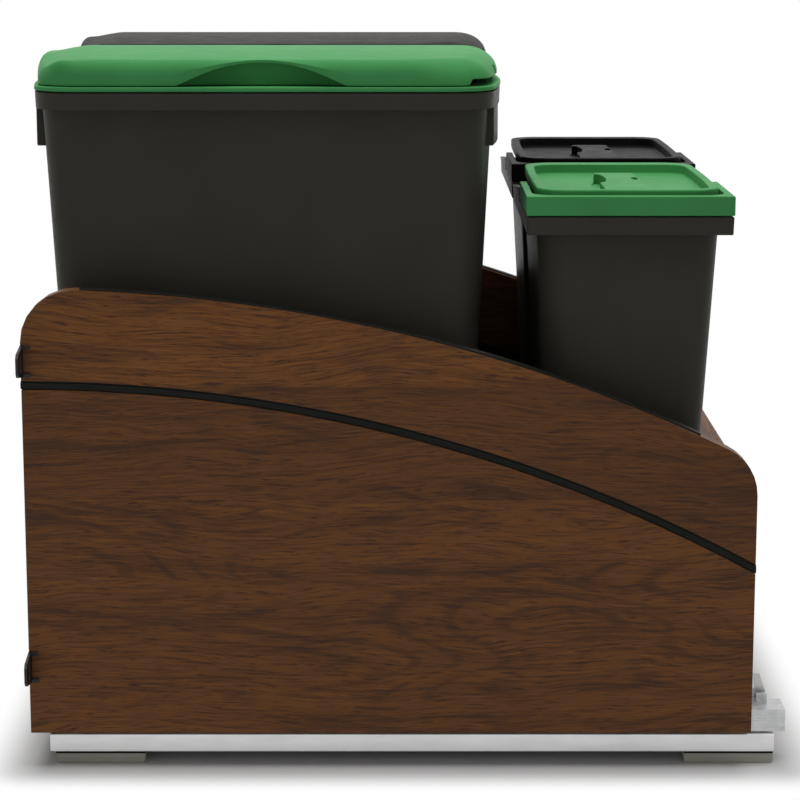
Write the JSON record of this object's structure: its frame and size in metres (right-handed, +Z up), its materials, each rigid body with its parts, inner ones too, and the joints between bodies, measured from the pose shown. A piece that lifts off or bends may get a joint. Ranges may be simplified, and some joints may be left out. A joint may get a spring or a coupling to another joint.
{
  "type": "pull-out waste cabinet",
  "caption": "Pull-out waste and recycling drawer for a base cabinet, with curved walnut sides, undermount slides, lidded bins and door brackets.",
  "frame": {"origin": "centre of the footprint on the cabinet floor, under the feet", "axes": "+Z up, the drawer pulls out along -Y towards the cabinet door, +X to the right seen from the door"},
  "size_m": [0.5698, 0.5612, 0.525],
  "materials": {
    "walnut": "satin stained walnut",
    "inlay": "matt black extrusion",
    "edge_strip": "matt black extrusion",
    "black_steel": "satin black powder coat",
    "zinc_steel": "zinc plated sheet steel",
    "rail_paint": "pale grey powder coat",
    "foot_plastic": "grey moulded plastic",
    "pad_rubber": "black rubber",
    "bin_plastic": "satin charcoal polymer",
    "cage_plastic": "black moulded plastic",
    "grey_lid": "satin grey polymer",
    "black_lid": "satin black polymer",
    "green_lid": "satin green polymer"
  },
  "bodies": {
    "base": {"base_rail_right": "rail_paint", "base_rail_left": "rail_paint", "cross_tie_front": "rail_paint", "cross_tie_rear": "rail_paint", "foot_front_right": "foot_plastic", "foot_front_left": "foot_plastic", "foot_rear_right": "foot_plastic", "foot_rear_left": "foot_plastic", "foot_pad_front_right": "pad_rubber", "foot_pad_front_left": "pad_rubber", "foot_pad_rear_right": "pad_rubber", "foot_pad_rear_left": "pad_rubber", "slide_fixed_member_right": "zinc_steel", "slide_fixed_member_left": "zinc_steel"},
    "slide_middle": {"slide_middle_member_right": "zinc_steel", "slide_middle_member_left": "zinc_steel"},
    "inner_cages": {"inner_roller_cage_right": "cage_plastic", "inner_roller_cage_left": "cage_plastic"},
    "outer_cages": {"outer_roller_cage_right": "cage_plastic", "outer_roller_cage_left": "cage_plastic"},
    "drawer": {"slide_drawer_member_right": "zinc_steel", "slide_drawer_member_left": "zinc_steel", "side_upper_board_right": "walnut", "side_upper_board_left": "walnut", "side_lower_board_right": "walnut", "side_lower_board_left": "walnut", "side_inlay_right": "inlay", "side_inlay_left": "inlay", "top_edge_strip_right": "edge_strip", "top_edge_strip_left": "edge_strip", "drawer_front_panel": "walnut", "drawer_back_panel": "walnut", "drawer_bottom_panel": "walnut", "door_bracket_upper_right": "black_steel", "door_bracket_upper_left": "black_steel", "door_bracket_lower_right": "black_steel", "door_bracket_lower_left": "black_steel", "bracket_screw_upper_right": "zinc_steel", "bracket_screw_upper_left": "zinc_steel", "bracket_screw_lower_right": "zinc_steel", "bracket_screw_lower_left": "zinc_steel"},
    "large_bin_right": {"large_bin_right": "bin_plastic", "large_lid_ring_right": "green_lid", "large_lid_hinge_pin_right": "zinc_steel"},
    "large_bin_left": {"large_bin_left": "bin_plastic", "large_lid_ring_left": "grey_lid", "large_lid_hinge_pin_left": "zinc_steel"},
    "large_lid_right": {"large_lid_shell_right": "green_lid"},
    "large_lid_left": {"large_lid_shell_left": "grey_lid"},
    "small_bin_right": {"small_bin_right": "bin_plastic"},
    "small_bin_left": {"small_bin_left": "bin_plastic"},
    "bail_right": {"small_bin_bail_right": "green_lid"},
    "bail_left": {"small_bin_bail_left": "black_lid"},
    "small_lid_right": {"small_bin_lid_right": "green_lid"},
    "small_lid_left": {"small_bin_lid_left": "black_lid"}
  },
  "joints": [
    {"name": "drawer_pull", "type": "slide", "parent": "base", "child": "drawer", "axis": [0, -1, 0], "range_m": [0, 0.533]},
    {"name": "middle_travel", "type": "slide", "parent": "base", "child": "slide_middle", "axis": [0, -1, 0], "range_m": [0, 0.2665]},
    {"name": "inner_cage_travel", "type": "slide", "parent": "base", "child": "inner_cages", "axis": [0, -1, 0], "range_m": [0, 0.13325]},
    {"name": "outer_cage_travel", "type": "slide", "parent": "base", "child": "outer_cages", "axis": [0, -1, 0], "range_m": [0, 0.39975]},
    {"name": "large_bin_right_lift", "type": "slide", "parent": "drawer", "child": "large_bin_right", "axis": [0, 0, 1], "range_m": [0, 0.34]},
    {"name": "large_bin_left_lift", "type": "slide", "parent": "drawer", "child": "large_bin_left", "axis": [0, 0, 1], "range_m": [0, 0.34]},
    {"name": "small_bin_right_lift", "type": "slide", "parent": "drawer", "child": "small_bin_right", "axis": [0, 0, 1], "range_m": [0, 0.27]},
    {"name": "small_bin_left_lift", "type": "slide", "parent": "drawer", "child": "small_bin_left", "axis": [0, 0, 1], "range_m": [0, 0.27]},
    {"name": "large_lid_right_hinge", "type": "hinge", "parent": "large_bin_right", "child": "large_lid_right", "pos_m": [0.12135, 0.0599, 0.5099], "axis": [-1, 0, 0], "range_deg": [0, 100]},
    {"name": "large_lid_left_hinge", "type": "hinge", "parent": "large_bin_left", "child": "large_lid_left", "pos_m": [-0.12135, 0.0599, 0.5099], "axis": [-1, 0, 0], "range_deg": [0, 100]},
    {"name": "bail_right_hinge", "type": "hinge", "parent": "small_bin_right", "child": "bail_right", "pos_m": [0.1344, 0.15975, 0.41495], "axis": [0, -1, 0], "range_deg": [0, 100]},
    {"name": "bail_left_hinge", "type": "hinge", "parent": "small_bin_left", "child": "bail_left", "pos_m": [-0.1156, 0.15975, 0.41495], "axis": [0, -1, 0], "range_deg": [0, 100]},
    {"name": "small_lid_right_lift", "type": "slide", "parent": "small_bin_right", "child": "small_lid_right", "axis": [0, 0, 1], "range_m": [0, 0.06]},
    {"name": "small_lid_left_lift", "type": "slide", "parent": "small_bin_left", "child": "small_lid_left", "axis": [0, 0, 1], "range_m": [0, 0.06]}
  ],
  "couplings": [
    {"joint": "middle_travel", "follows": "drawer_pull", "ratio": 0.5},
    {"joint": "inner_cage_travel", "follows": "drawer_pull", "ratio": 0.25},
    {"joint": "outer_cage_travel", "follows": "drawer_pull", "ratio": 0.75}
  ]
}
